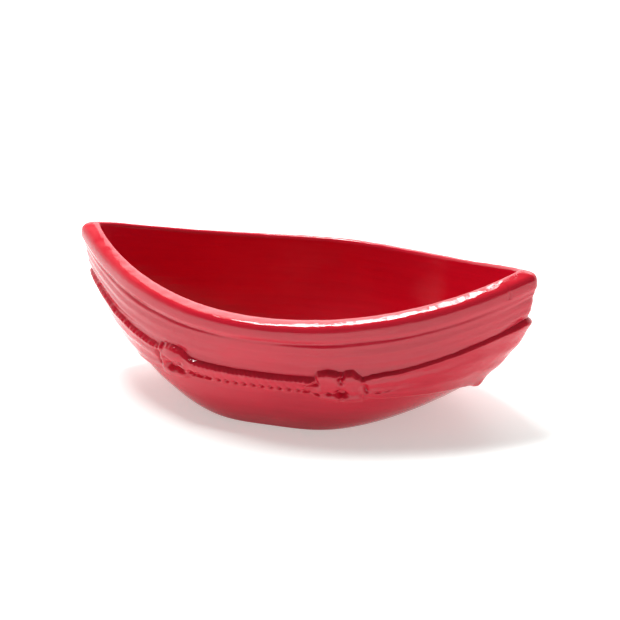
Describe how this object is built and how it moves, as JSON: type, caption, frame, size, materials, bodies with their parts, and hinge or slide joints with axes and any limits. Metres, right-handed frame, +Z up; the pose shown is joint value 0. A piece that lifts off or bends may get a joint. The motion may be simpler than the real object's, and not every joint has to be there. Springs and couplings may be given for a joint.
{
  "type": "canoe-shaped dish",
  "caption": "Canoe-shaped glazed ceramic serving dish: double-ended hull with a rounded lip, a flat foot, and a rope, knots and belt in relief outside.",
  "frame": {"origin": "centre of the flat foot, on the surface that the dish stands on", "axes": "+X towards the bow (the end nearer the viewer's right), +Y to port, +Z up"},
  "size_m": [0.22, 0.1216, 0.0708],
  "materials": {
    "glaze": "glossy",
    "relief_glaze": "glossy"
  },
  "bodies": {
    "root": {"hull": "glaze", "rope_starboard": "relief_glaze", "rope_port": "relief_glaze", "knot_starboard_bow": "relief_glaze", "knot_starboard_stern": "relief_glaze", "knot_port_bow": "relief_glaze", "knot_port_stern": "relief_glaze", "upper_wale_starboard_bow": "relief_glaze", "upper_wale_starboard_stern": "relief_glaze", "upper_wale_port_bow": "relief_glaze", "upper_wale_port_stern": "relief_glaze", "fan_starboard_bow": "relief_glaze", "fan_starboard_stern": "relief_glaze", "fan_port_bow": "relief_glaze", "fan_port_stern": "relief_glaze", "lower_wale_starboard_bow": "relief_glaze", "lower_wale_starboard_stern": "relief_glaze", "lower_wale_port_bow": "relief_glaze", "lower_wale_port_stern": "relief_glaze", "stem_collar_bow": "relief_glaze", "stem_collar_stern": "relief_glaze"}
  },
  "joints": []
}
